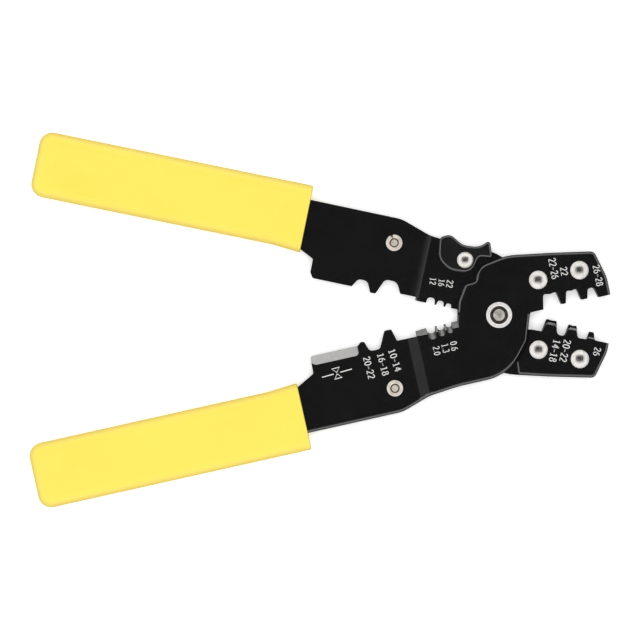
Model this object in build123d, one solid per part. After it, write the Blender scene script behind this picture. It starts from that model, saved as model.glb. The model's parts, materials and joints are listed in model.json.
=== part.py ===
from build123d import *
import math
import os

# A plate-built crimper and wire stripper, lying flat and open.
# Millimetres, +Z up. The jaws point to +X, and the origin is on the surface the
# tool lies on, below the middle of its outline.
#
# Each lever is drawn in its own lever frame: the pivot axis is the origin, +X runs
# to the jaw tips along the line where the closed levers meet, and the lever's jaw
# is on the +Y side, its handle on the -Y side. The head of the lever lies above
# z = 0. Turning the whole lever upside down gives the other one.

# ---- driving dimensions ----
plate = 2.8                  # thickness of the stamped lever plates
head_gap = 0.1               # running gap between the two heads
edge_roll = 1.25             # rounding that stamping leaves on a plate's outer side
edge_break = 0.2             # and on its inner side
front_open_angle = 12.6      # front lever's turn from the closing line, open
rear_open_angle = 12.0       # rear lever's turn the other way, open

joggle_start = -30.2         # where the head bends towards the handle's plane
joggle_end = -34.9
bend_radius = 2.5            # inner radius where the head ends
front_handle_bend = 2.5      # and where the handle begins
rear_handle_bend = 25.0

tang_end = -170.0
handle_outer = -27.0         # outer edge of the handle

stripper_line = 1.15         # cutting edges pass the closing line by this much
stripper_end = -31.1
stripper_bevel = 2.5         # width of the ground bevel
stripper_land = 0.25         # square land left beside the bevel
notch_flare = 0.35           # how much wider a notch is at its mouth, each side
stripper_notches = [         # x, depth below the closing line, bottom radius
    (-18.7, 0.3, 0.85),
    (-21.8, 0.66, 1.05),
    (-25.4, 1.1, 1.3),
]
relief_start = -29.0         # the bends pass each other beyond this point
relief_width = 0.9           # reach of the relief behind the closing line
relief_height = 0.55         # its roof, above the middle plane

cutter_line = 0.2
cutter_start = -53.1
cutter_end = -71.2
cutter_bevel = 3.4
cutter_corner = 1.3          # rounding of the bevel's foot towards the nests
cutter_end_corner = 2.4      # and at the lever's notch

tongue_bevel = 0.8           # bevel across the outer edges of the low tongues
tongue_bevel_limit = 1.5

jaw_rivet_places = {"inner": (16.8, 9.4), "outer": (32.3, 9.6)}
handle_rivet_place = (-43.0, -17.9)
latch_rivet_place = (-16.3, -17.1)

jaw_rivet_head = 3.35
jaw_rivet_height = 1.5
jaw_rivet_shank = 1.9
tube_rivet_head = 3.0
tube_rivet_shank = 2.1
tube_rivet_tail = 0.9        # height of the head behind
tube_rivet_rim = 0.9         # height of the rolled rim above the plate
tube_rivet_rounding = 0.65   # of the rim outside
tube_bore_rounding = 0.55    # and inside
tube_rivet_bore = 1.6        # the bore is blind, with a stub left standing in it
tube_rivet_stub = 1.3
stub_rounding = 0.45
stub_drop = 0.1              # the stub ends this far below the rim
rim_split_angle = 121.0      # where the upper handle's rivet split
rim_split_width = 1.0        # half of the split's width at the rim's outside
rim_split_bottom = 0.15      # the split ends this far above the plate
latch_rivet_head = 2.95
latch_rivet_height = 1.4
latch_rivet_tail = 0.9
latch_rivet_shank = 1.6

bush_radius = 4.0
bush_flange = 4.75
bush_flange_height = 0.9
rim_rounding = 0.6
pivot_recess = 3.3
pivot_recess_depth = 1.5
pivot_core = 2.15
pin_drop = 0.5               # the pin ends this far below the bush's rim
pin_rounding = 0.5
pin_head = 4.6
pin_head_height = 1.55
pivot_washer_radius = 6.4
pivot_washer_thickness = 1.0
running_fit = 0.05           # radial clearance of everything that turns

spring_radius = 8.0          # mean radius of the open-ring spring
spring_wire = 1.2
spring_gap_angle = 56.0      # opening of the ring, centred on the jaw side
spring_peg_height = 2.0
pocket_clearance = 0.35      # room for the spring, sideways
pocket_headroom = 0.15       # and above and below it
peg_clearance = 0.1

backing = 2.0                # thickness of the handle backing plates
latch_thickness = 2.2
latch_rounding = 1.0
latch_washer_radius = 2.6
latch_washer_thickness = 0.3

grip_length = 101.4
grip_width = 24.0
grip_flare_length = 11.0     # the inner wall flares over this length at the mouth
grip_flare = 0.9
grip_thickness = 11.0
grip_corner = 4.8
grip_edge = 4.2
grip_mouth_edge = 0.5
front_grip_seat = Pos(-77.7, -21.1, 0)
rear_grip_seat = Pos(-76.2, -20.2, 0) * Rot(0, 0, -0.45)

head_bottom = head_gap / 2
head_top = head_bottom + plate
handle_top = plate / 2

clear = 5.0                  # cuts right through a lever reach this far up and down
past_tips = 44.0             # the jaws' cuts run out beyond the tips and the closing line
past_closing = -4.5


# ---- drawing helpers ----
def rounded_face(corners):
    """Flat face from straight runs; each corner is (x, y, radius)."""
    points = [Vector(x, y) for x, y, radius in corners]
    count = len(points)
    starts = []
    middles = []
    ends = []
    for i, (x, y, radius) in enumerate(corners):
        back = (points[i - 1] - points[i]).normalized()
        ahead = (points[(i + 1) % count] - points[i]).normalized()
        half = math.radians(back.get_angle(ahead)) / 2
        reach = radius / math.tan(half)
        inward = (back + ahead).normalized()
        starts.append(points[i] + back * reach)
        middles.append(points[i] + inward * (radius / math.sin(half) - radius))
        ends.append(points[i] + ahead * reach)
    edges = []
    for i, (x, y, radius) in enumerate(corners):
        if radius > 0:
            edges.append(Edge.make_three_point_arc(starts[i], middles[i], ends[i]))
        following = starts[(i + 1) % count]
        if (following - ends[i]).length > 0.001:
            edges.append(Edge.make_line(ends[i], following))
    return Face(Wire(edges))


def prism(face, low, high):
    """Solid standing on a flat outline, from z = low to z = high."""
    return extrude(Pos(0, 0, low) * face, high - low, dir=(0, 0, 1))


def disc(x, y, radius, low, high):
    return Pos(x, y, (low + high) / 2) * Cylinder(radius, high - low)


def ring(outer, inner, low, high):
    return disc(0, 0, outer, low, high) - disc(0, 0, inner, low - 1, high + 1)


def roll_edges(solid, outline, radius, rolled_side):
    """Round the edges along the outline on one side, as a stamping die leaves them."""
    wire = outline.outer_wire()
    rolled = []
    for edge in solid.edges():
        middle = edge @ 0.5
        along = edge % 0.5
        on_outline = wire.distance_to(Vertex(middle.X, middle.Y, 0)) < 0.01
        if on_outline and abs(along.Z) < 0.9 and rolled_side(middle):
            rolled.append(edge)
    return fillet(rolled, radius)


def dome(radius, height):
    """Spherical rivet head standing on z = 0."""
    sphere = (radius**2 + height**2) / (2 * height)
    ball = Pos(0, 0, height - sphere) * Sphere(sphere)
    return ball & Pos(0, 0, height / 2) * Cylinder(radius, height)


# ---- outlines shared by both levers (lever frame) ----
blank_corners = [
    (tang_end, handle_outer, 4),
    (-42.0, handle_outer, 12),
    (-31.0, -23.4, 14),
    (-20.0, -22.3, 50),
    (-1.2, -22.3, 18),
    (8.0, -11.5, 1.3),
    (10.9, -3.0, 0),
    (41.5, -3.0, 0),
    (41.6, 5.0, 12),
    (39.1, 15.2, 2.2),
    (23.0, 18.2, 90),
    (7.5, 20.7, 20),
    (-3.9, 18.9, 6),
    (-5.6, 13.95, 1.2),
    (-9.6, 13.75, 2.5),
    (-13.6, 7.7, 9),
    (-14.3, 5.0, 0),
    (tang_end, 5.0, 0),
]

# the gap that the nests, the cutter and the tang leave free, seen from the
# lever's own side of the closing line
front_nest_corners = [
    (stripper_end, 6.0, 0),
    (stripper_end, -1.1, 0),
    (-38.4, -1.1, 0.5),
    (-39.6, 3.45, 0.5),
    (-42.1, 3.5, 0.5),
    (-45.2, -2.7, 1.5),
    (-49.0, -2.7, 1.9),
    (-50.3, 1.25, 0.5),
    (-51.7, 1.25, 0.6),
    (-52.8, cutter_line, 0.6),
    (-70.7, cutter_line, 0.5),
    (-71.0, -6.2, 0.8),
    (-78.0, -9.9, 3),
    (tang_end - 5, -13.0, 0),
    (tang_end - 5, 6.0, 0),
]
rear_nest_corners = [
    (stripper_end, 6.0, 0),
    (stripper_end, -0.2, 0),
    (-36.9, -0.15, 0.4),
    (-38.9, -4.15, 2.7),
    (-43.4, -4.15, 2.2),
    (-45.8, 1.65, 0.5),
    (-47.8, 1.75, 0.5),
    (-49.6, -2.2, 2.0),
    (-53.0, -2.25, 1.7),
    (-54.9, 0.9, 0.4),
    (-69.6, 0.9, 1.0),
    (-70.8, -1.0, 0.6),
    (-70.9, -6.0, 0.8),
    (-78.0, -9.4, 3),
    (tang_end - 5, -13.0, 0),
    (tang_end - 5, 6.0, 0),
]

# the gap below the upper jaw's cavities and above the lower jaw's tongues
cavity_corners = [
    (10.4, past_closing, 0),
    (11.4, -1.6, 0.3),
    (16.3, -1.6, 0.2),
    (17.4, 3.9, 0.9),
    (20.0, 3.4, 0.3),
    (22.3, 3.9, 0.9),
    (23.2, -1.1, 0.4),
    (24.8, -1.2, 0.4),
    (25.9, 3.3, 0.8),
    (27.9, 2.9, 0.3),
    (29.8, 3.4, 0.8),
    (30.7, -1.1, 0.4),
    (32.9, -1.2, 0.4),
    (33.7, 2.35, 1.15),
    (36.1, 2.35, 1.1),
    (37.1, -1.6, 0.3),
    (past_tips, -1.6, 0),
    (past_tips, past_closing, 0),
]
tongue_corners = [
    (10.4, past_closing, 0),
    (11.1, -2.4, 0),
    (11.2, 2.9, 0.5),
    (16.7, 2.55, 0.3),
    (17.55, -2.35, 0.5),
    (19.4, -2.1, 1.0),
    (21.3, -2.3, 0.5),
    (22.3, 2.6, 1.4),
    (25.2, 2.6, 1.3),
    (26.0, -2.1, 0.4),
    (27.4, -1.75, 1.0),
    (28.8, -2.1, 0.4),
    (30.0, 2.2, 0.9),
    (33.4, 2.0, 0.3),
    (33.9, -1.0, 0.4),
    (35.5, -1.0, 0.4),
    (36.3, 1.75, 0.4),
    (past_tips, 1.8, 0),
    (past_tips, past_closing, 0),
]
low_tongue_corners = [
    (8.0, past_closing, 0),
    (8.0, 2.9, 0),
    (16.7, 2.55, 0.3),
    (17.4, -1.25, 1.5),
    (21.4, -1.25, 1.5),
    (22.3, 2.6, 1.4),
    (25.2, 2.6, 1.3),
    (25.9, -1.05, 1.1),
    (28.9, -1.05, 1.1),
    (30.0, 2.2, 0.9),
    (33.4, 2.0, 0.2),
    (33.6, 0.95, 0.5),
    (35.9, 0.95, 0.5),
    (36.3, 1.75, 0.2),
    (past_tips, 1.8, 0),
    (past_tips, past_closing, 0),
]
die_plate_corners = [
    (12.5, -3.0, 0),
    (12.5, 9.6, 4),
    (9.95, 16.2, 0),
    (11.3, 19.95, 1.3),
    (23.0, 18.2, 90),
    (39.1, 15.2, 2.2),
    (41.6, 5.0, 12),
    (41.5, -3.0, 0),
]
backing_corners = [
    (-36.2, -24.6, 3),
    (-42.5, -26.2, 8),
    (-100.0, -26.2, 3),
    (-100.0, 5.0, 0),
    (-36.2, 5.0, 0),
]
latch_corners = [
    (-6.6, -19.9, 0.7),
    (-8.9, -26.2, 0.9),
    (-12.2, -22.8, 6),
    (-18.2, -22.3, 6),
    (-23.4, -25.2, 2.8),
    (-27.2, -23.4, 2.2),
    (-26.0, -15.4, 6),
    (-20.8, -12.2, 7),
    (-12.9, -12.9, 4.5),
    (-11.6, -19.3, 1.6),
]


# ---- pieces, each in its own lever frame ----
def side_profile(handle_bend):
    """The lever seen from the side: head, joggle and handle."""
    slope = math.atan2(head_top - handle_top, joggle_start - joggle_end)
    shift = plate * math.tan(slope / 2)
    face = rounded_face([
        (50.0, head_top, 0),
        (joggle_start, head_top, bend_radius + plate),
        (joggle_end, handle_top, handle_bend),
        (tang_end - 10, handle_top, 0),
        (tang_end - 10, -handle_top, 0),
        (joggle_end + shift, -handle_top, handle_bend + plate),
        (joggle_start + shift, head_bottom, bend_radius),
        (50.0, head_bottom, 0),
    ])
    upright = Rot(90, 0, 0) * face
    return extrude(upright, 60, dir=(0, 1, 0), both=True)


def stripping_edge_cut():
    """Everything beyond the stripping edge, with its ground bevel and notch pockets."""
    gap = rounded_face([
        (-14.17, 5.5, 0),
        (-15.3, stripper_line, 0),
        (stripper_end, stripper_line, 0),
        (stripper_end, 5.5, 0),
    ])
    sketch = Sketch() + gap
    for x, depth, radius in stripper_notches:
        flare = rounded_face([
            (x + radius + notch_flare, stripper_line + 0.5, 0),
            (x - radius - notch_flare, stripper_line + 0.5, 0),
            (x - radius, -depth, radius * 0.9),
            (x + radius, -depth, radius * 0.9),
        ])
        sketch += flare
    straight = extrude(Pos(0, 0, -1) * sketch, head_top + 2, dir=(0, 0, 1))
    lean = math.hypot(stripper_bevel, plate)
    bevel = extrude(
        Pos(0, 0, head_bottom + stripper_land) * sketch,
        lean,
        dir=Vector(0, -stripper_bevel, plate).normalized(),
    )
    return straight + bevel


def bend_relief():
    """Room ground in the inner face where the two levers' bends pass each other."""
    room = rounded_face([
        (relief_start, stripper_line + 1, 0),
        (relief_start, -relief_width, 0.5),
        (stripper_end - 1, -relief_width, 0),
        (stripper_end - 1, stripper_line + 1, 0),
    ])
    return prism(room, -clear, relief_height)


def above_middle(point):
    """Whether a point is above the middle of the lever's thickness."""
    share = (point.X - joggle_end) / (joggle_start - joggle_end)
    share = min(max(share, 0), 1)
    return point.Z > share * (head_top + head_bottom) / 2


def lever(nest_corners, jaw_corners, handle_bend):
    outline = rounded_face(blank_corners)
    body = prism(outline, -clear, clear) & side_profile(handle_bend)
    body = roll_edges(body, outline, edge_roll, above_middle)
    body = roll_edges(body, outline, edge_break, lambda point: not above_middle(point))
    body -= stripping_edge_cut()
    body -= prism(rounded_face(nest_corners), -clear, clear)
    body -= prism(rounded_face(jaw_corners), -clear, clear)
    body -= disc(0, 0, bush_radius + running_fit, -clear, clear)
    for x, y in jaw_rivet_places.values():
        body -= disc(x, y, jaw_rivet_shank, -clear, clear)
    body -= disc(*handle_rivet_place, tube_rivet_shank, -clear, clear)
    return body


def cutter_bevels():
    """The two ground faces that bring the cutter to an edge at mid thickness."""
    low = cutter_line - cutter_bevel
    high = cutter_line + 0.4
    edge_z = 0.1
    rise = (handle_top - edge_z) / cutter_bevel
    wedge = rounded_face([
        (high, edge_z - (high - cutter_line) * rise, 0),
        (low, handle_top, 0),
        (low, handle_top + 1, 0),
        (high, handle_top + 1, 0),
    ])
    across = Plane(origin=(cutter_start, 0, 0), x_dir=(0, 1, 0), z_dir=(1, 0, 0))
    upper = extrude(across * wedge, cutter_start - cutter_end, dir=(-1, 0, 0))
    ground = rounded_face([
        (cutter_start, low, cutter_corner),
        (cutter_start, high + 1, 0),
        (cutter_end, high + 1, 0),
        (cutter_end, low, cutter_end_corner),
    ])
    upper &= prism(ground, -clear, clear)
    return upper + mirror(upper, about=Plane.XY)


def free_outer_edge(point):
    """Whether a point is on a die plate's outer side, away from the pivot's side."""
    beside_pivot = point.X < 13 and point.Y < 16
    return point.Z < -1 and not beside_pivot


def die_plate(jaw_corners):
    """Doubling plate of a jaw, drawn in the frame of the lever it is riveted to."""
    outline = rounded_face(die_plate_corners)
    body = prism(outline, -head_top, head_bottom)
    body = roll_edges(body, outline, edge_roll, free_outer_edge)
    body -= prism(rounded_face(jaw_corners), -clear, clear)
    for x, y in jaw_rivet_places.values():
        body -= disc(x, y, jaw_rivet_shank, -clear, clear)
    return body


def low_tongue_bevel():
    """What the bevel takes off the outer edges of the lower jaw's low tongues."""
    slanted = extrude(
        Pos(0, 0, tongue_bevel - head_top) * rounded_face(low_tongue_corners),
        2 * tongue_bevel,
        dir=Vector(0, 1, -1).normalized(),
    )
    tops = rounded_face([
        (10.0, past_closing, 0),
        (10.0, tongue_bevel_limit, 0),
        (past_tips, tongue_bevel_limit, 0),
        (past_tips, past_closing, 0),
    ])
    return slanted & prism(tops, -clear, clear)


def jaw_rivet(x, y):
    head = Pos(0, 0, head_top) * dome(jaw_rivet_head, jaw_rivet_height)
    rivet = disc(0, 0, jaw_rivet_shank, -head_top, head_top)
    rivet += head
    rivet += Rot(180, 0, 0) * head
    return Pos(x, y, 0) * rivet


def backing_plate(nest_corners, side):
    """Plate behind the handle; side is +1 above the handle, -1 below it."""
    outline = rounded_face(backing_corners)
    low = min(side * handle_top, side * (handle_top + backing))
    body = prism(outline, low, low + backing)
    body -= prism(rounded_face(nest_corners), -clear, clear)
    body -= disc(*handle_rivet_place, tube_rivet_shank, -clear, clear)
    return body


def handle_rivet():
    """Semi-tubular rivet: rolled rim and blind bore in front, low head behind."""
    rear = -handle_top - backing
    rim = handle_top + tube_rivet_rim
    section = rounded_face([
        (0, rear, 0),
        (tube_rivet_shank, rear, 0),
        (tube_rivet_shank, handle_top, 0),
        (tube_rivet_head, handle_top, 0),
        (tube_rivet_head, rim, tube_rivet_rounding),
        (tube_rivet_bore, rim, tube_bore_rounding),
        (tube_rivet_bore, handle_top, 0),
        (tube_rivet_stub, handle_top, 0),
        (tube_rivet_stub, rim - stub_drop, stub_rounding),
        (0, rim - stub_drop, 0),
    ])
    rivet = revolve(Rot(90, 0, 0) * section, Axis.Z)
    head = Rot(180, 0, 0) * dome(tube_rivet_head, tube_rivet_tail)
    return rivet + Pos(0, 0, rear) * head


def rim_split():
    """The wedge that opened in a rivet's rim as it was rolled over."""
    wedge = rounded_face([
        (tube_rivet_bore, 0, 0.05),
        (tube_rivet_head + 1, rim_split_width, 0),
        (tube_rivet_head + 1, -rim_split_width, 0),
    ])
    return Rot(0, 0, rim_split_angle) * prism(wedge, handle_top + rim_split_bottom, clear)


def grip(seat, filled):
    """Slip-on grip with a square-cut mouth at its own x = 0, hollowed by its filling.

    The seat is the grip's place on its lever.
    """
    past_mouth = 8.0
    half_width = grip_width / 2
    flare = grip_flare * (1 + past_mouth / grip_flare_length)
    corners = [
        (past_mouth, -half_width, 0),
        (-grip_length, -half_width, grip_corner),
        (-grip_length, half_width, grip_corner),
        (-grip_flare_length, half_width, 30),
        (past_mouth, half_width + flare, 0),
    ]
    half = grip_thickness / 2
    body = prism(rounded_face(corners), -half, half)
    body = fillet(body.faces().filter_by(Axis.Z).edges(), grip_edge)
    body -= Pos(past_mouth, 0, 0) * Box(2 * past_mouth, 200, 20)
    body = fillet(body.faces().sort_by(Axis.X)[-1].edges(), grip_mouth_edge)
    body = seat * body
    for piece in filled:
        body -= piece
    return body


def latch_washer():
    washer = ring(
        latch_washer_radius,
        latch_rivet_shank,
        head_bottom - latch_washer_thickness,
        head_bottom,
    )
    return Pos(*latch_rivet_place) * washer


def lock_latch():
    """Thumb lever in the other lever's plane, so below its own lever's inner face."""
    high = head_bottom - latch_washer_thickness
    body = prism(rounded_face(latch_corners), high - latch_thickness, high)
    body = fillet(body.faces().sort_by(Axis.Z)[0].edges(), latch_rounding)
    return body - disc(*latch_rivet_place, latch_rivet_shank + running_fit, -clear, clear)


def latch_rivet():
    """Fixed in its lever, with the larger head over the latch."""
    head_z = head_bottom - latch_washer_thickness - latch_thickness - running_fit
    rivet = disc(0, 0, latch_rivet_shank, head_z, head_top)
    rivet += Pos(0, 0, head_z) * Rot(180, 0, 0) * dome(latch_rivet_head, latch_rivet_height)
    rivet += Pos(0, 0, head_top) * dome(latch_rivet_head, latch_rivet_tail)
    return Pos(*latch_rivet_place) * rivet


def return_spring():
    """Open ring of square wire, with a peg at each end: one up, one down."""
    half_wire = spring_wire / 2
    half_gap = spring_gap_angle / 2
    whole = ring(spring_radius + half_wire, spring_radius - half_wire, -half_wire, half_wire)
    far = 2 * spring_radius
    opening = rounded_face([
        (0, 0, 0),
        (far * math.cos(math.radians(half_gap)), -far * math.sin(math.radians(half_gap)), 0),
        (far * math.cos(math.radians(half_gap)), far * math.sin(math.radians(half_gap)), 0),
    ])
    body = whole - prism(opening, -clear, clear)
    return body + spring_peg(1, half_wire) + spring_peg(-1, half_wire)


def spring_peg(side, radius):
    """Peg at one end of the ring; side is +1 into the front lever, -1 into the rear."""
    inset = math.degrees(spring_wire / 2 / spring_radius)
    angle = math.radians(side * (spring_gap_angle / 2 + inset))
    x = spring_radius * math.cos(angle)
    y = spring_radius * math.sin(angle)
    end = side * spring_peg_height
    return disc(x, y, radius, min(0, end), max(0, end))


def spring_room():
    """What the spring needs clear in the two levers' inner faces."""
    outer = spring_radius + spring_wire / 2 + pocket_clearance
    inner = spring_radius - spring_wire / 2 - pocket_clearance
    half = spring_wire / 2 + pocket_headroom
    hole = spring_wire / 2 + peg_clearance
    return ring(outer, inner, -half, half) + spring_peg(1, hole) + spring_peg(-1, hole)


def pivot_bush():
    flange_bottom = head_top + head_gap
    body = disc(0, 0, bush_radius, -head_top, flange_bottom)
    flange = disc(0, 0, bush_flange, flange_bottom, flange_bottom + bush_flange_height)
    flange = fillet(flange.edges().group_by(Axis.Z)[-1], rim_rounding)
    body += flange
    top = flange_bottom + bush_flange_height
    body -= disc(0, 0, pivot_recess, top - pivot_recess_depth, top + 1)
    body -= disc(0, 0, pivot_core, -clear, clear)
    rim = [edge for edge in body.edges() if abs((edge @ 0).Z - top) < 0.001]
    return fillet(rim, rim_rounding)


def pivot_washer():
    return ring(pivot_washer_radius, pivot_core, -head_top - pivot_washer_thickness, -head_top)


def pivot_pin():
    """Peened end low in the bush's recess in front, domed head behind."""
    rear = -head_top - pivot_washer_thickness
    top = head_top + head_gap + bush_flange_height - pin_drop
    body = disc(0, 0, pivot_core, rear, top)
    body = fillet(body.edges().group_by(Axis.Z)[-1], pin_rounding)
    return body + Pos(0, 0, rear) * Rot(180, 0, 0) * dome(pin_head, pin_head_height)


# ---- assembly ----
front_place = Rot(0, 0, front_open_angle)
rear_place = Rot(0, 0, -rear_open_angle) * Rot(180, 0, 0)

front_lever = lever(front_nest_corners, cavity_corners, front_handle_bend)
front_lever -= cutter_bevels()
front_lever -= bend_relief()
rear_lever = lever(rear_nest_corners, tongue_corners, rear_handle_bend)
rear_lever -= disc(*latch_rivet_place, latch_rivet_shank, -clear, clear)
front_backing = backing_plate(front_nest_corners, -1)
rear_backing = backing_plate(rear_nest_corners, 1) - rear_lever
split_rivet = Rot(180, 0, 0) * (handle_rivet() - rim_split())

pieces = {
    "front_lever": front_place * front_lever - spring_room(),
    "upper_jaw_die_plate": front_place * die_plate(cavity_corners),
    "lower_handle_backing_plate": front_place * front_backing,
    "lower_handle_rivet": front_place * Pos(*handle_rivet_place) * handle_rivet(),
    "lower_grip": front_place * grip(front_grip_seat, [front_lever, front_backing]),
    "rear_lever": rear_place * rear_lever - spring_room(),
    "lower_jaw_die_plate": rear_place * (die_plate(low_tongue_corners) - low_tongue_bevel()),
    "upper_handle_backing_plate": rear_place * rear_backing,
    "upper_handle_rivet": rear_place * Pos(*handle_rivet_place) * split_rivet,
    "upper_grip": rear_place * grip(rear_grip_seat, [rear_lever, rear_backing]),
    "return_spring": return_spring(),
    "pivot_bush": pivot_bush(),
    "pivot_washer": pivot_washer(),
    "pivot_pin": pivot_pin(),
    "latch_washer": rear_place * latch_washer(),
    "lock_latch": rear_place * lock_latch(),
    "latch_rivet": rear_place * latch_rivet(),
}
for end, (x, y) in jaw_rivet_places.items():
    pieces[f"upper_jaw_rivet_{end}"] = front_place * jaw_rivet(x, y)
    pieces[f"lower_jaw_rivet_{end}"] = rear_place * jaw_rivet(x, y)

box = Compound(children=[Compound(piece.wrapped) for piece in pieces.values()]).bounding_box()
to_origin = Pos(-(box.min.X + box.max.X) / 2, -(box.min.Y + box.max.Y) / 2, -box.min.Z)
os.makedirs("parts", exist_ok=True)
for name, piece in pieces.items():
    export_step(to_origin * piece, f"parts/{name}.step")
print("pivot", to_origin.position)
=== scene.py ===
import json
import math

import bpy
from mathutils import Matrix, Vector
from mathutils.bvhtree import BVHTree


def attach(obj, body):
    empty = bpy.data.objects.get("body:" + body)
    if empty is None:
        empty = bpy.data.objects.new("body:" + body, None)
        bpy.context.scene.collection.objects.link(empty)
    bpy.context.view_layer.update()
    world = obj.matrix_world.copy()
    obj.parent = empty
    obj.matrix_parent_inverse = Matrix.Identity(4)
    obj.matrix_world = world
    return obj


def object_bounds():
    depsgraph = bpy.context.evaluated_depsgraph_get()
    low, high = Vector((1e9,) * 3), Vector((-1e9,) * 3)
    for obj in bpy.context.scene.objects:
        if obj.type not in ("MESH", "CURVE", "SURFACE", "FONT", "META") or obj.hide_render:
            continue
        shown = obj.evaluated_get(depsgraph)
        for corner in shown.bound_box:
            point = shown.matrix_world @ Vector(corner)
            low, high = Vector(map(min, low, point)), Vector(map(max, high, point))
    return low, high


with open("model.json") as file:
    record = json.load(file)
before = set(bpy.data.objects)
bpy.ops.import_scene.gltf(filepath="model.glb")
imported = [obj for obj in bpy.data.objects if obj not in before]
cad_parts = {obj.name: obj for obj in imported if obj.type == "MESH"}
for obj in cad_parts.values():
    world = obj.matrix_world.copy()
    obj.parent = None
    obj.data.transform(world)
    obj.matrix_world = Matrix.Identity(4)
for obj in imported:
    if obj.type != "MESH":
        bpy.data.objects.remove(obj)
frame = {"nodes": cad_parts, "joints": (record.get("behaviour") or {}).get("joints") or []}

bpy.context.view_layer.update()
cad_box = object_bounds()

# ---- facts of the tool, in millimetres and degrees ----
MM = 0.001
FRONT_OPEN_ANGLE = 12.6      # front lever's turn from the closing line
REAR_OPEN_ANGLE = 12.0       # rear lever's turn the other way

# where the bare metal is: along the closing line and across it, in a lever's frame
STRIPPER_SPAN = (-31.3, -14.0)
STRIPPER_REACH = (-4.6, 1.3)
CUTTER_SPAN = (-71.4, -52.9)
CUTTER_REACH = (-3.3, 0.8)
TONGUE_SPAN = (16.0, 37.0)
TONGUE_REACH = (-1.6, 1.6)
BEVEL_TILT = (0.05, 0.97)    # a ground bevel's normal has a Z between these
FACING_UP = 0.9              # and that of a face that looks up, more than this

PIVOT_RECESS = (0.0, 3.15)   # the bush is hollow between these radii
RIVET_GROOVE = (1.22, 1.72)  # and a handle rivet between these
SPLIT_FLOOR = 1.7            # the split in a rivet's rim ends below this height over the pivot
INK_THICKNESS = 0.02

jaws = next(joint for joint in frame["joints"] if joint["name"] == "jaws")
pivot = Vector(jaws["pos_m"])


def tool_frame(degrees):
    """A lever's frame: pivot axis at the origin, +X along the closing line to the jaw tips."""
    return Matrix.Translation(pivot) @ Matrix.Rotation(math.radians(degrees), 4, "Z")


FRONT = tool_frame(FRONT_OPEN_ANGLE)
REAR = tool_frame(-REAR_OPEN_ANGLE)
REAR_FLIPPED = REAR @ Matrix.Scale(-1, 4, (0, 1, 0))   # its jaw on the +Y side, as the front one's
LEVER_FRAMES = {"front_half": FRONT, "rear_half": REAR}


# ---- node helpers ----
def add_node(tree, kind, sockets=None, **settings):
    """Add a node; sockets maps an input's name or number to a value or to another node's output."""
    node = tree.nodes.new(kind)
    for name, value in settings.items():
        setattr(node, name, value)
    for key, value in (sockets or {}).items():
        if isinstance(value, bpy.types.NodeSocket):
            tree.links.new(value, node.inputs[key])
        else:
            node.inputs[key].default_value = value
    return node


def blank_material(name):
    """A material with its node tree, its Principled shader and coordinates that stay on the part."""
    material = bpy.data.materials.new(name)
    material.use_nodes = True
    tree = material.node_tree
    place = add_node(tree, "ShaderNodeTexCoord").outputs["Object"]
    return material, tree, tree.nodes["Principled BSDF"], place


def noise(tree, place, size_mm, detail=2.0):
    """Fractal noise whose lumps are about size_mm across."""
    sockets = {"Vector": place, "Scale": 1 / (size_mm * MM), "Detail": detail}
    return add_node(tree, "ShaderNodeTexNoise", sockets).outputs[0]


def map_range(tree, value, start, end, low, high, kind="LINEAR"):
    """Map a value that runs from start to end onto low to high."""
    sockets = {"Value": value, "From Min": start, "From Max": end, "To Min": low, "To Max": high}
    return add_node(tree, "ShaderNodeMapRange", sockets, interpolation_type=kind).outputs[0]


def spread(tree, value, low, high, start=0.3, end=0.7):
    """Map a noise value, most of it between start and end, onto low to high."""
    return map_range(tree, value, start, end, low, high)


def calculate(tree, operation, first, second):
    """Result of one Math node on two numbers or outputs."""
    return add_node(tree, "ShaderNodeMath", {0: first, 1: second}, operation=operation).outputs[0]


def vector_math(tree, operation, *inputs):
    """The node of one operation on vectors."""
    return add_node(tree, "ShaderNodeVectorMath", dict(enumerate(inputs)), operation=operation)


def blend_colours(tree, factor, first, second):
    """Colour between two colours, or between two colour outputs."""
    node = add_node(tree, "ShaderNodeMix", {0: factor}, data_type="RGBA")
    for key, colour in ((6, first), (7, second)):
        if isinstance(colour, bpy.types.NodeSocket):
            tree.links.new(colour, node.inputs[key])
        else:
            node.inputs[key].default_value = (*colour, 1)
    return node.outputs[2]


def bump(tree, height, depth_mm, normal=None):
    """Bump from a 0 to 1 height, depth_mm deep."""
    sockets = {"Height": height, "Distance": depth_mm * MM, "Strength": 1.0}
    if normal is not None:
        sockets["Normal"] = normal
    return add_node(tree, "ShaderNodeBump", sockets).outputs[0]


def connect(tree, shader, **outputs):
    """Link outputs to the Principled shader's sockets."""
    names = {"colour": "Base Color", "roughness": "Roughness", "normal": "Normal"}
    for key, output in outputs.items():
        tree.links.new(output, shader.inputs[names[key]])


# ---- materials ----
GRINDING_STRETCH = 0.08      # a grinding mark's width over its length
RINGS_PER_METRE = 9000.0     # of lathe marks


def stretched(tree, place, degrees):
    """Coordinates turned to the lever, in which noise is drawn out across its edge."""
    sockets = {
        "Vector": place,
        "Rotation": (0, 0, math.radians(-degrees)),
        "Scale": (1, GRINDING_STRETCH, GRINDING_STRETCH),
    }
    return add_node(tree, "ShaderNodeMapping", sockets, vector_type="POINT").outputs[0]


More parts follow.
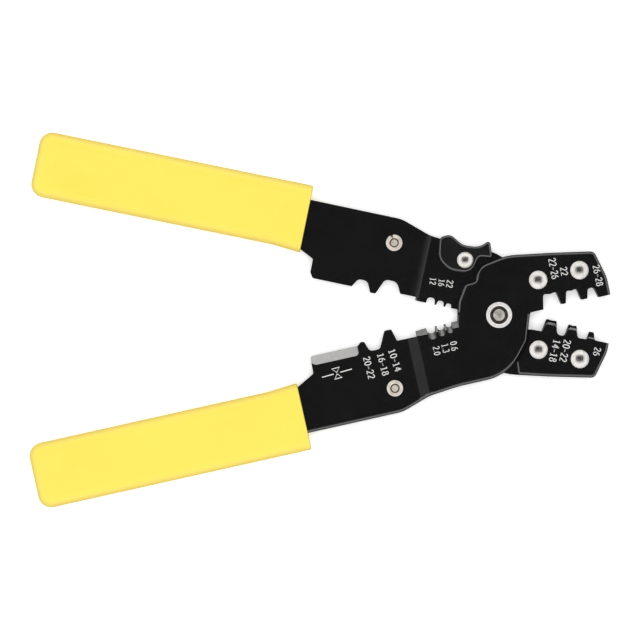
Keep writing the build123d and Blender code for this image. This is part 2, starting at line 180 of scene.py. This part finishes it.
def black_enamel(name, shade):
    """Baked black enamel on stamped plate: glossy, with faint orange peel and dust."""
    material, tree, shader, place = blank_material(name)
    dust = spread(tree, noise(tree, place, 0.35, detail=3.0), 0, 1, start=0.66, end=0.74)
    mottle = noise(tree, place, 14.0, detail=3.0)
    deep = (shade, shade, shade * 1.08)
    pale = (shade * 1.7, shade * 1.7, shade * 1.75)
    colour = blend_colours(tree, dust, blend_colours(tree, mottle, deep, pale), (shade * 4,) * 3)
    gloss = spread(tree, noise(tree, place, 6.0, detail=4.0), 0.13, 0.24)
    peel = bump(tree, noise(tree, place, 0.9, detail=1.0), 0.004)
    connect(tree, shader, colour=colour, roughness=gloss, normal=peel)
    shader.inputs["Coat Weight"].default_value = 1.0
    shader.inputs["Coat Roughness"].default_value = 0.06
    return material


def ground_steel(name, degrees, light, dark):
    """Bare steel left by the grinding wheel, with marks across the cutting edge."""
    material, tree, shader, place = blank_material(name)
    streaks = noise(tree, stretched(tree, place, degrees), 0.16, detail=3.0)
    stain = noise(tree, place, 2.4, detail=3.0)
    metal = blend_colours(tree, streaks, (dark,) * 3, (light,) * 3)
    colour = blend_colours(tree, spread(tree, stain, 0, 0.5), metal, (dark, dark * 0.95, dark * 0.88))
    gloss = spread(tree, streaks, 0.3, 0.5)
    connect(tree, shader, colour=colour, roughness=gloss, normal=bump(tree, streaks, 0.006))
    shader.inputs["Metallic"].default_value = 1.0
    return material


def plated_steel(name, colour, tarnish, gloss_range, dent_mm, dent_depth_mm):
    """Plated steel with small dents and cloudy tarnish."""
    material, tree, shader, place = blank_material(name)
    cloud = spread(tree, noise(tree, place, 1.6, detail=4.0), 0, 1)
    metal = blend_colours(tree, cloud, colour, tarnish)
    gloss = spread(tree, noise(tree, place, 0.5, detail=3.0), *gloss_range)
    dents = bump(tree, noise(tree, place, dent_mm), dent_depth_mm)
    connect(tree, shader, colour=metal, roughness=gloss, normal=dents)
    shader.inputs["Metallic"].default_value = 1.0
    return material


def turned_steel(name):
    """Lathe-turned steel: fine rings about the pivot axis."""
    material, tree, shader, place = blank_material(name)
    from_axis = vector_math(tree, "SUBTRACT", place, pivot[:]).outputs[0]
    flat = vector_math(tree, "MULTIPLY", from_axis, (1, 1, 0)).outputs[0]
    radius = vector_math(tree, "LENGTH", flat).outputs["Value"]
    sockets = {"W": radius, "Scale": RINGS_PER_METRE, "Detail": 2.0}
    rings = add_node(tree, "ShaderNodeTexNoise", sockets, noise_dimensions="1D")
    cloud = noise(tree, place, 1.3, detail=3.0)
    metal = blend_colours(tree, cloud, (0.98, 0.965, 0.945), (0.76, 0.74, 0.72))
    gloss = spread(tree, cloud, 0.56, 0.72)
    dents = bump(tree, noise(tree, place, 1.4), 0.09)
    turned = bump(tree, rings.outputs[0], 0.004, dents)
    connect(tree, shader, colour=metal, roughness=gloss, normal=turned)
    shader.inputs["Metallic"].default_value = 1.0
    return material


def yellow_vinyl(name):
    """Moulded vinyl: yellow with painted shade that makes the flanks deeper and more orange, faint clouding
    and a slightly wavy skin.
    """
    material, tree, shader, place = blank_material(name)
    cloud = spread(tree, noise(tree, place, 22.0, detail=3.0), 0, 1)
    top = blend_colours(tree, cloud, (0.92, 0.79, 0.115), (0.91, 0.765, 0.105))
    # painted shade: the further a face turns from straight up, the deeper and more orange its yellow, in
    # place of the shading on the grip's rounded flanks
    facing = add_node(tree, "ShaderNodeNewGeometry").outputs["Normal"]
    upright = add_node(tree, "ShaderNodeSeparateXYZ", {0: facing}).outputs["Z"]
    painted_flank_shade = map_range(tree, calculate(tree, "ABSOLUTE", upright, 0.0), 0.995, 0.45, 0, 1)
    colour = blend_colours(tree, painted_flank_shade, top, (0.97, 0.74, 0.14))
    specks = spread(tree, noise(tree, place, 0.5), 0, 1, start=0.7, end=0.76)
    dusty = blend_colours(tree, specks, colour, (0.84, 0.7, 0.13))
    gloss = spread(tree, noise(tree, place, 3.0, detail=3.0), 0.34, 0.46)
    skin = bump(tree, noise(tree, place, 2.2, detail=1.0), 0.02)
    grain = bump(tree, noise(tree, place, 0.25, detail=1.0), 0.0025, skin)
    connect(tree, shader, colour=dusty, roughness=gloss, normal=grain)
    return material


def printed_ink(name):
    """Off-white pad-printed ink, a little thin in places."""
    material, tree, shader, place = blank_material(name)
    thin = spread(tree, noise(tree, place, 0.25), 0, 0.45, start=0.45, end=0.75)
    colour = blend_colours(tree, thin, (0.78, 0.78, 0.76), (0.35, 0.35, 0.34))
    connect(tree, shader, colour=colour, roughness=spread(tree, thin, 0.45, 0.6))
    return material


def pale_floor(name):
    """Plain pale paper with a faint glow of its own, so that shadows on it stay light."""
    material, tree, shader, place = blank_material(name)
    fibre = noise(tree, place, 1.5, detail=3.0)
    colour = blend_colours(tree, fibre, (0.93, 0.93, 0.93), (0.95, 0.95, 0.95))
    connect(tree, shader, colour=colour)
    tree.links.new(colour, shader.inputs["Emission Color"])
    shader.inputs["Emission Strength"].default_value = FLOOR_GLOW
    shader.inputs["Roughness"].default_value = 0.9
    shader.inputs["Specular IOR Level"].default_value = 0.1
    return material


enamel = black_enamel("black_enamel", 0.0042)
latch_enamel = black_enamel("latch_enamel", 0.0075)
cutter_steel = ground_steel("cutter_steel", FRONT_OPEN_ANGLE, 0.64, 0.42)
stripper_steel = ground_steel("stripper_steel", FRONT_OPEN_ANGLE, 0.4, 0.25)
tongue_steel = ground_steel("tongue_steel", -REAR_OPEN_ANGLE, 0.4, 0.22)
rivet_steel = plated_steel("rivet_steel", (0.62, 0.6, 0.58), (0.46, 0.44, 0.42), (0.2, 0.36), 0.9, 0.03)
tube_nickel = plated_steel("tube_nickel", (0.94, 0.86, 0.79), (0.74, 0.66, 0.59), (0.5, 0.64), 0.7, 0.07)
peened_steel = plated_steel("peened_steel", (0.85, 0.82, 0.78), (0.4, 0.375, 0.35), (0.45, 0.62), 0.6, 0.22)
# painted shade: a very dark steel laid on the bush's hollow and the handle rivets' grooves, in place of the
# shade inside them
painted_recess_shade = plated_steel("painted_recess_shade", (0.2, 0.17, 0.16), (0.09, 0.075, 0.07), (0.4, 0.55), 0.6, 0.08)
spring_steel = plated_steel("spring_steel", (0.42, 0.42, 0.43), (0.26, 0.25, 0.25), (0.25, 0.4), 0.8, 0.01)
bush_steel = turned_steel("bush_steel")
vinyl = yellow_vinyl("yellow_vinyl")
ink = printed_ink("printed_ink")

NODE_MATERIALS = {
    enamel: (
        "front_lever", "rear_lever", "upper_jaw_die_plate", "lower_jaw_die_plate",
        "upper_handle_backing_plate", "lower_handle_backing_plate",
    ),
    latch_enamel: ("lock_latch",),
    rivet_steel: (
        "upper_jaw_rivet_inner", "upper_jaw_rivet_outer",
        "lower_jaw_rivet_inner", "lower_jaw_rivet_outer", "latch_rivet",
    ),
    tube_nickel: ("upper_handle_rivet", "lower_handle_rivet"),
    bush_steel: ("pivot_bush", "pivot_washer"),
    peened_steel: ("pivot_pin",),
    spring_steel: ("return_spring", "latch_washer"),
    vinyl: ("upper_grip", "lower_grip"),
}
for material, names in NODE_MATERIALS.items():
    for name in names:
        frame["nodes"][name].material_slots[0].material = material


# ---- faces of a CAD node that are bare metal, or dark with painted shade ----
def add_slot(mesh, material):
    """Give a mesh one more material slot, and say which it is."""
    mesh.materials.append(material)
    return len(mesh.materials) - 1


def bare_faces(node_name, lever_frame, material, span, reach):
    """Give a material to the ground bevels inside a box of the lever's frame."""
    mesh = frame["nodes"][node_name].data
    slot = add_slot(mesh, material)
    inward = lever_frame.inverted()
    for face in mesh.polygons:
        centre = (inward @ face.center) / MM
        inside = span[0] < centre.x < span[1] and reach[0] < centre.y < reach[1]
        if inside and BEVEL_TILT[0] < abs(face.normal.z) < BEVEL_TILT[1]:
            face.material_index = slot


bare_faces("front_lever", FRONT, stripper_steel, STRIPPER_SPAN, STRIPPER_REACH)
bare_faces("front_lever", FRONT, cutter_steel, CUTTER_SPAN, CUTTER_REACH)
bare_faces("rear_lever", REAR_FLIPPED, stripper_steel, STRIPPER_SPAN, STRIPPER_REACH)
bare_faces("lower_jaw_die_plate", REAR_FLIPPED, tongue_steel, TONGUE_SPAN, TONGUE_REACH)


def hollow_faces(node_name, radii):
    """The hollow in the front of a bush or rivet, and a split in its rim, get a dark steel as painted
    shade.
    """
    mesh = frame["nodes"][node_name].data
    slot = add_slot(mesh, painted_recess_shade)
    xs = [vertex.co.x for vertex in mesh.vertices]
    ys = [vertex.co.y for vertex in mesh.vertices]
    axis = Vector((min(xs) + max(xs), min(ys) + max(ys))) / 2
    for face in mesh.polygons:
        radius = (face.center.xy - axis).length / MM
        height = (face.center.z - pivot.z) / MM
        in_split = face.normal.z > FACING_UP and height < SPLIT_FLOOR
        if height > 0 and (radii[0] < radius < radii[1] or in_split):
            face.material_index = slot


hollow_faces("pivot_bush", PIVOT_RECESS)
hollow_faces("upper_handle_rivet", RIVET_GROOVE)
hollow_faces("lower_handle_rivet", RIVET_GROOVE)


# ---- printed size numbers and the cutter's sign ----
# Each figure stands in a box one unit high. A straight stroke is a list of its points;
# a round one is (centre x, centre y, radius x, radius y, start, end), in degrees.
FIGURES = {
    "0": [(0.3, 0.5, 0.21, 0.46, 0, 360)],
    "1": [[(0.3, 0.0), (0.3, 0.97)], [(0.3, 0.93), (0.12, 0.82)], [(0.12, 0.02), (0.48, 0.02)]],
    "2": [
        (0.29, 0.72, 0.19, 0.25, 170, -35),
        [(0.445, 0.577), (0.1, 0.06)],
        [(0.08, 0.05), (0.52, 0.05)],
    ],
    "3": [(0.27, 0.74, 0.17, 0.22, 150, -90), (0.27, 0.27, 0.21, 0.25, 90, -150)],
    "4": [[(0.4, 0.0), (0.4, 0.97)], [(0.4, 0.95), (0.06, 0.31)], [(0.04, 0.3), (0.56, 0.3)]],
    "6": [(0.3, 0.3, 0.2, 0.27, 0, 360), (0.5, 0.36, 0.4, 0.6, 105, 180)],
    "8": [(0.3, 0.74, 0.16, 0.22, 0, 360), (0.3, 0.27, 0.2, 0.25, 0, 360)],
    "-": [[(0.08, 0.42), (0.46, 0.42)], [(0.08, 0.45), (0.46, 0.45)]],
    ".": [[(0.13, 0.03), (0.13, 0.13)], [(0.17, 0.03), (0.17, 0.13)]],
}
FIGURE_WIDTH = {"-": 0.56, ".": 0.3}
USUAL_WIDTH = 0.62
# the sign: a wire parted between two facing wedges
CUT_SIGN_LENGTH = 2.86
CUT_SIGN = [
    [(0.0, 0.5), (1.12, 0.5)],
    [(1.74, 0.5), (CUT_SIGN_LENGTH, 0.5)],
    [(1.08, 0.98), (1.78, 0.98), (1.43, 0.56), (1.08, 0.98)],
    [(1.08, 0.02), (1.78, 0.02), (1.43, 0.44), (1.08, 0.02)],
]
THICK_STROKE = 0.062         # half width of an upright stroke
THIN_STROKE = 0.045          # half width of a level one
ROUND_STEPS = 28
CLOSED_GAP = 0.001           # a stroke whose ends are nearer than this is closed


def stroke_points(stroke):
    """The points along a stroke's middle."""
    if isinstance(stroke, list):
        return [Vector(point) for point in stroke]
    x, y, across, up, start, end = stroke
    points = []
    for step in range(ROUND_STEPS + 1):
        angle = math.radians(start + (end - start) * step / ROUND_STEPS)
        points.append(Vector((x + across * math.cos(angle), y + up * math.sin(angle))))
    return points


def nib_offset(direction):
    """Half the stroke's width as a broad pen gives it: uprights thick, levels thin."""
    normal = Vector((-direction.y, direction.x)).normalized()
    return normal * math.hypot(THICK_STROKE * normal.x, THIN_STROKE * normal.y)


def add_stroke(points, shift, vertices, faces):
    """Add one stroke's strip of flat faces."""
    closed = (points[0] - points[-1]).length < CLOSED_GAP
    last = len(points) - 1
    start = len(vertices)
    for i, point in enumerate(points):
        before = points[i - 1] if i > 0 else (points[last - 1] if closed else point)
        after = points[i + 1] if i < last else (points[1] if closed else point)
        offset = nib_offset(after - before)
        for side in (point + offset, point - offset):
            vertices.append((side.x + shift, side.y, 0))
    for i in range(last):
        a = start + 2 * i
        faces.append((a, a + 1, a + 3, a + 2))


def text_strips(text):
    """Vertices, faces and length of a line of figures one unit high."""
    vertices = []
    faces = []
    shift = 0.0
    for character in text:
        for stroke in FIGURES[character]:
            add_stroke(stroke_points(stroke), shift, vertices, faces)
        shift += FIGURE_WIDTH.get(character, USUAL_WIDTH)
    return vertices, faces, shift


def sign_strips():
    """Vertices, faces and length of the cutter's sign, one unit high."""
    vertices = []
    faces = []
    for stroke in CUT_SIGN:
        add_stroke(stroke_points(stroke), 0.0, vertices, faces)
    return vertices, faces, CUT_SIGN_LENGTH


def surface_height(node_name, x, y):
    """Height of a CAD node's upper face at a point."""
    mesh = frame["nodes"][node_name].data
    corners = [vertex.co for vertex in mesh.vertices]
    tree = BVHTree.FromPolygons(corners, [tuple(face.vertices) for face in mesh.polygons])
    above = Vector((x, y, 1.0))
    return tree.ray_cast(above, Vector((0, 0, -1)))[0].z


def print_mark(name, strips, body, node_name, seat, size):
    """Lay a flat mark on a node's face.

    The seat is the mark's middle and turn in the lever's frame; size is its length and height.
    """
    vertices, faces, length = strips
    mesh = bpy.data.meshes.new(name)
    mesh.from_pydata(vertices, [], faces)
    lever_frame = LEVER_FRAMES[body]
    x, y, degrees = seat
    at = lever_frame @ Vector((x * MM, y * MM, 0))
    on_face = Matrix.Translation((at.x, at.y, surface_height(node_name, at.x, at.y)))
    spin = Matrix.Rotation(lever_frame.to_euler().z, 4, "Z")
    turn = Matrix.Rotation(math.radians(degrees), 4, "Z")
    scale = Matrix.Diagonal((size[0] * MM / length, size[1] * MM, 1, 1))
    middle = Matrix.Translation((-length / 2, -0.5, 0))
    mesh.transform(on_face @ spin @ turn @ scale @ middle)
    mesh.materials.append(ink)
    mark = bpy.data.objects.new(name, mesh)
    bpy.context.scene.collection.objects.link(mark)
    film = mark.modifiers.new("film", "SOLIDIFY")
    film.thickness = INK_THICKNESS * MM
    film.offset = 1.0
    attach(mark, body)


# figures, body, node they are on, seat, size
SIZE_MARKS = [
    ("22-26", "front_half", "front_lever", (23.2, 12.2, -92), (7.8, 2.7)),
    ("22", "front_half", "front_lever", (26.7, 10.4, -92), (3.4, 2.6)),
    ("26-28", "front_half", "front_lever", (38.5, 6.2, -91), (8.0, 2.5)),
    ("14-18", "rear_half", "lower_jaw_die_plate", (22.7, -8.6, -91), (8.4, 2.7)),
    ("20-22", "rear_half", "lower_jaw_die_plate", (26.4, -7.8, -91), (8.4, 2.7)),
    ("26", "rear_half", "lower_jaw_die_plate", (37.9, -5.7, -91), (3.3, 2.5)),
    ("12", "rear_half", "rear_lever", (-26.1, 7.1, -85), (2.7, 2.3)),
    ("16", "rear_half", "rear_lever", (-22.9, 7.2, -85), (2.7, 2.3)),
    ("22", "rear_half", "rear_lever", (-19.9, 7.4, -86), (3.0, 2.4)),
    ("10-14", "front_half", "front_lever", (-40.7, -7.9, -84), (8.6, 2.6)),
    ("16-18", "front_half", "front_lever", (-45.3, -8.4, -88), (8.5, 2.5)),
    ("20-22", "front_half", "front_lever", (-50.6, -8.5, -88), (8.5, 2.6)),
    ("0.6", "front_half", "front_lever", (-18.5, -7.5, -90), (3.5, 2.5)),
    ("1.3", "front_half", "front_lever", (-21.7, -7.6, -90), (3.4, 2.5)),
    ("2.0", "front_half", "front_lever", (-25.1, -7.8, -92), (3.4, 2.4)),
]
for number, (text, body, node_name, seat, size) in enumerate(SIZE_MARKS, 1):
    print_mark(f"size_mark_{number:02d}", text_strips(text), body, node_name, seat, size)
print_mark("cutter_mark", sign_strips(), "front_half", "front_lever", (-62.5, -7.85, -177), (11.4, 4.0))


# ---- camera, floor and light, in metres and watts ----
CAMERA_DISTANCE = 1.2
VIEW_WIDTH = 0.2347          # width of the view at the plates' middle plane
VIEW_DEPTH = 20.0
SENSOR = 36.0                # width of the camera's sensor, in millimetres
FLOOR_REACH = 3.0
FLOOR_GLOW = 0.3
SOFTBOX_SIZE = 1.6
SOFTBOX_HEIGHT = 2.0
SOFTBOX_POWER = 34.0
FILL_LIGHT = 0.4             # of the world, on everything that isn't glossy

# Everything glossy mirrors a bright dome with a dark window overhead and dark ground
# below. The window's edges are tangents of the angle from straight up.
DOME_LIGHT = 1.6
WINDOW_LIGHT = 0.035
WINDOW_EDGES = {"left": -0.8, "right": 0.82, "near": -0.52, "far": 0.8}
WINDOW_SOFTNESS = 0.34
GROUND_LIGHT = 0.15
HORIZON = (-0.03, 0.05)      # the ground turns into the dome between these heights
LEAST_HEIGHT = 0.02          # keeps the tangents finite at the horizon


def make_camera():
    """Square above the plates, as the tool is seen lying on the table."""
    data = bpy.data.cameras.new("camera")
    data.sensor_width = SENSOR
    data.lens = SENSOR * CAMERA_DISTANCE / VIEW_WIDTH
    data.clip_end = VIEW_DEPTH
    camera = bpy.data.objects.new("camera", data)
    bpy.context.scene.collection.objects.link(camera)
    middle = (cad_box[0] + cad_box[1]) / 2
    camera.location = (middle.x, middle.y, pivot.z + CAMERA_DISTANCE)
    bpy.context.scene.camera = camera


def make_floor():
    """A sheet of pale paper far wider than the tool."""
    far = FLOOR_REACH
    corners = [(-far, -far, 0), (far, -far, 0), (far, far, 0), (-far, far, 0)]
    mesh = bpy.data.meshes.new("floor")
    mesh.from_pydata(corners, [], [(0, 1, 2, 3)])
    mesh.materials.append(pale_floor("pale_floor"))
    floor = bpy.data.objects.new("floor", mesh)
    bpy.context.scene.collection.objects.link(floor)
    floor.visible_glossy = False


def dark_window(tree, parts):
    """1 inside the overhead window, 0 outside, soft at its edges."""
    up = calculate(tree, "MAXIMUM", parts["Z"], LEAST_HEIGHT)
    inside = None
    for axis, low, high in (("X", "left", "right"), ("Y", "near", "far")):
        tangent = calculate(tree, "DIVIDE", parts[axis], up)
        for edge, sign in ((low, 1), (high, -1)):
            start = WINDOW_EDGES[edge] - sign * WINDOW_SOFTNESS
            end = WINDOW_EDGES[edge] + sign * WINDOW_SOFTNESS
            ramp = map_range(tree, tangent, start, end, 0, 1, "SMOOTHSTEP")
            inside = ramp if inside is None else calculate(tree, "MULTIPLY", inside, ramp)
    return inside


def make_surroundings():
    """What glossy surfaces mirror, and an even fill for everything else."""
    world = bpy.data.worlds.new("studio")
    bpy.context.scene.world = world
    world.use_nodes = True
    tree = world.node_tree
    direction = add_node(tree, "ShaderNodeTexCoord").outputs["Generated"]
    parts = add_node(tree, "ShaderNodeSeparateXYZ", {0: direction}).outputs
    dome = map_range(tree, dark_window(tree, parts), 0, 1, DOME_LIGHT, WINDOW_LIGHT)
    mirrored = map_range(tree, parts["Z"], *HORIZON, GROUND_LIGHT, dome, "SMOOTHSTEP")
    rays = add_node(tree, "ShaderNodeLightPath").outputs
    lit = map_range(tree, rays["Is Glossy Ray"], 0, 1, FILL_LIGHT, mirrored)
    shown = map_range(tree, rays["Is Camera Ray"], 0, 1, lit, 1)
    background = tree.nodes["Background"]
    background.inputs["Color"].default_value = (1, 1, 1, 1)
    tree.links.new(shown, background.inputs["Strength"])
    world.cycles.sampling_method = "NONE"


def make_softbox():
    """A large soft lamp straight above, which glossy surfaces don't mirror."""
    data = bpy.data.lights.new("softbox", "AREA")
    data.size = SOFTBOX_SIZE
    data.energy = SOFTBOX_POWER
    lamp = bpy.data.objects.new("softbox", data)
    bpy.context.scene.collection.objects.link(lamp)
    lamp.location = (0, 0, SOFTBOX_HEIGHT)
    lamp.visible_glossy = False
    lamp.visible_camera = False


make_camera()
make_floor()
make_surroundings()
make_softbox()
bpy.context.scene.view_settings.view_transform = "Standard"
bpy.context.scene.view_settings.look = "None"

bpy.context.view_layer.update()
